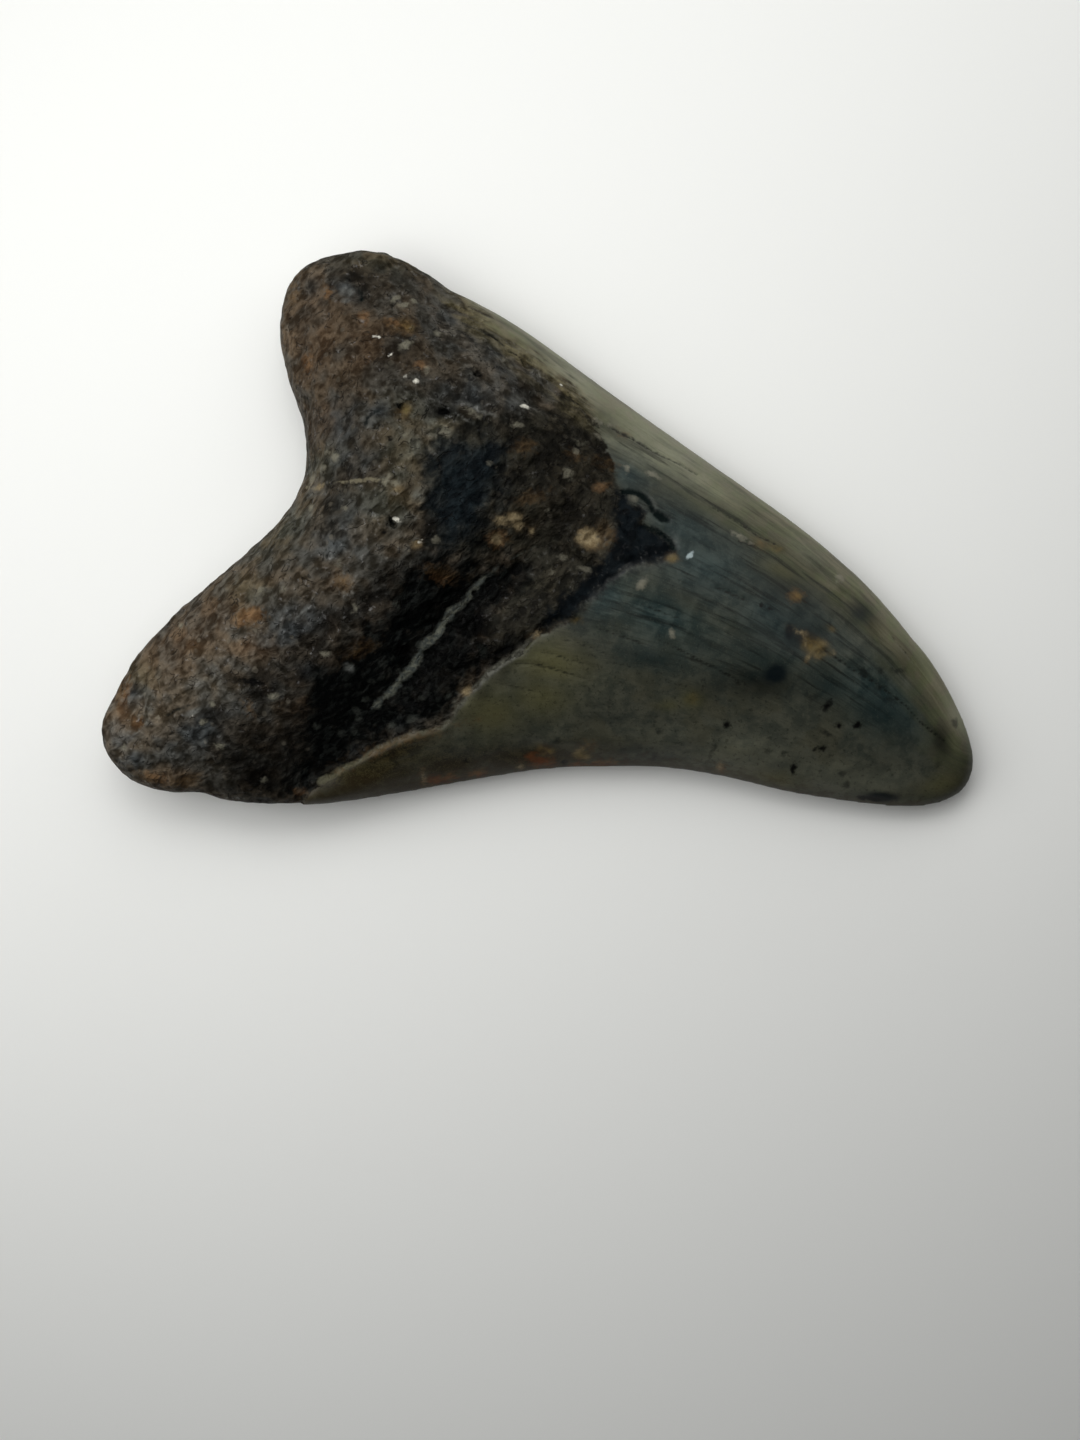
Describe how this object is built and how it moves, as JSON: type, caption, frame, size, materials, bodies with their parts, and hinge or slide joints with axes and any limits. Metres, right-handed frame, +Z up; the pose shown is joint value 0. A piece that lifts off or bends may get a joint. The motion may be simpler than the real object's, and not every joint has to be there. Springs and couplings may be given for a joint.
{
  "type": "megalodon tooth",
  "caption": "Fossil megalodon tooth with a lobed root, a dark bourlette and a smooth curved crown, lying on its flat labial face.",
  "frame": {"origin": "on the resting plane, below the middle of the tooth's bounding box", "axes": "+X along the tooth towards the tip of the crown, +Y towards the mesial (convex) edge, +Z up, out of the lingual face"},
  "size_m": [0.1144, 0.0724, 0.0221],
  "materials": {
    "fossil": "satin"
  },
  "bodies": {
    "root": {"tooth": "fossil"}
  },
  "joints": []
}
